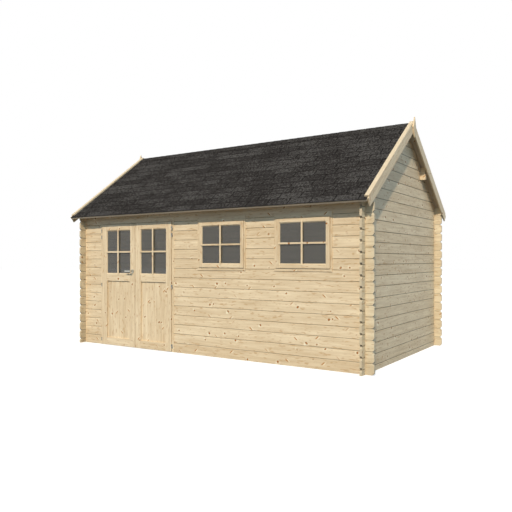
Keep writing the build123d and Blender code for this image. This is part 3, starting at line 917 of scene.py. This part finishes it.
def build_ridge():
    """Shingles folded over the ridge, each lapping the last."""
    low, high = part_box("ridge_cap")
    top = slope_place("front") @ Vector((0, slope_length(), 0))
    lift = (roof_board_thickness + ridge_tab_rise) / pitch_cos
    drop = ridge_tab_reach * pitch_sin
    side = ridge_tab_reach * pitch_cos
    lean = (tab_thickness * pitch_sin, tab_thickness * pitch_cos)
    peak = tab_thickness / pitch_cos
    section = (
        (-side, -drop), (0, 0), (side, -drop),
        (side + lean[0], lean[1] - drop), (0, peak), (-side - lean[0], lean[1] - drop),
    )
    caps = Boards()
    count = round((high.x - low.x - ridge_tab_length) / tab_exposure)
    step = (high.x - low.x - ridge_tab_length) / count
    tilt = Matrix.Rotation(math.atan(tab_thickness / step), 4, "Y")
    for index in range(count + 1):
        place = Matrix.Translation((low.x + index * step, 0, top.z + lift + tab_thickness))
        caps.add_section(section, ridge_tab_length, place @ tilt, ridge_number + index)
    ridge = caps.finish("ridge_shingles", "shed", felt, tab_ease)
    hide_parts("ridge_cap")


def paint(material, *names):
    """Give whole nodes one material."""
    for name in names:
        nodes[name].data.materials.clear()
        nodes[name].data.materials.append(material)


def light_path_share(tree):
    """1 for rays from the camera, mirrors and panes, else 0."""
    path = put(tree, "ShaderNodeLightPath").outputs
    seen = calc(tree, "ADD", path["Is Camera Ray"], path["Is Glossy Ray"])
    return calc(tree, "MINIMUM", calc(tree, "ADD", seen, path["Is Transmission Ray"]), 1.0)


def add_sun(name, travel, strength, colour, spread):
    """Parallel light that travels one way."""
    lamp = bpy.data.lights.new(name, "SUN")
    lamp.energy = strength
    lamp.color = colour
    lamp.angle = spread
    add_object(name, lamp).rotation_euler = travel.to_track_quat("-Z", "Y").to_euler()


def build_surround():
    """A surround that looks white and lights the shed like a clear sky."""
    world = bpy.data.worlds.new("surround")
    bpy.context.scene.world = world
    world.use_nodes = True
    tree = world.node_tree
    colour = blend(tree, light_path_share(tree), sky_colour, white)
    tree.links.new(colour, tree.nodes["Background"].inputs["Color"])


def build_floor():
    """A plain pale floor."""
    mesh = bmesh.new()
    bmesh.ops.create_grid(mesh, x_segments=1, y_segments=1, size=floor_size)
    ground = bpy.data.meshes.new("floor")
    mesh.to_mesh(ground)
    mesh.free()
    material, tree, shader = new_material(
        "pale_floor", Roughness=floor_roughness, Specular_IOR_Level=0.0, Emission_Color=white,
    )
    seen = light_path_share(tree)
    tree.links.new(blend(tree, seen, floor_bounce, floor_colour), shader.inputs["Base Color"])
    tree.links.new(times(tree, seen, floor_glow), shader.inputs["Emission Strength"])
    ground.materials.append(material)
    floor = add_object("floor", ground)


def build_camera():
    """The camera at the photograph's viewing angle."""
    lens = bpy.data.cameras.new("camera")
    lens.lens = camera_lens
    lens.shift_x, lens.shift_y = camera_shift
    camera = add_object("camera", lens)
    camera.location = camera_place
    camera.rotation_euler = (math.pi / 2, 0, camera_yaw)
    bpy.context.scene.camera = camera


board_spruce = joinery_wood("board_spruce")
# a darker copy of the board spruce, as painted shade for the soffit
shaded_deck_spruce = joinery_wood("shaded_deck_spruce", deck_shade)
felt = shingle_felt()

for side in ("left", "right"):
    build_leaf(side)
    build_window(side)
for side in ("front", "back"):
    build_roof_boards(side)
    build_shingles(side)
build_ridge()

gable_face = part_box("right_gable_wall")[1].x
back_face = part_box("back_wall")[1].y
eave_logs = log_wood("eave_log_spruce", 0, 1, 0.0, eave_joint_reach, gable_face)
gable_logs = log_wood("gable_log_spruce", 1, 0, log_height / 2, gable_joint_reach, back_face)
front_slabs = [f"front_wall_{part}" for part in ("left", "over_door", "base", "piers", "top")]
paint(eave_logs, "back_wall", *front_slabs)
paint(gable_logs, "left_gable_wall", "right_gable_wall")
paint(straight_wood("upright_spruce", 2), "door_jambs", "left_finial", "right_finial")
paint(straight_wood("level_spruce", 0), "door_head", "ridge_purlin", "front_purlin", "back_purlin")
sloping = cad_wood("sloping_spruce", slope_grain, slope_across, slope_lengthwise)
paint(sloping, "front_bargeboards", "back_bargeboards", "front_cap_strips", "back_cap_strips")
sash_low, sash_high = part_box("left_window_sash")
paint(casing_wood(sash_low.z, sash_high.z), "left_window_frame", "right_window_frame")
panes = [f"{side}_{part}_glass" for side in ("left", "right") for part in ("leaf", "window")]
paint(window_glass(), *panes)
hinge_halves = [f"{side}_hinge_{part}_halves" for side in ("left", "right") for part in ("frame", "leaf")]
paint(worn_metal("zinc_plating", zinc_tint, zinc_roughness), *hinge_halves)
paint(worn_metal("satin_handle", handle_tint, handle_roughness), "handle_roses", "lever_handle")

build_surround()
build_floor()
add_sun("sun", sun_travel, sun_strength, sun_colour, sun_spread)
add_sun("fill", fill_travel, fill_strength, fill_colour, fill_spread)
build_camera()
bpy.context.scene.view_settings.view_transform = "Standard"
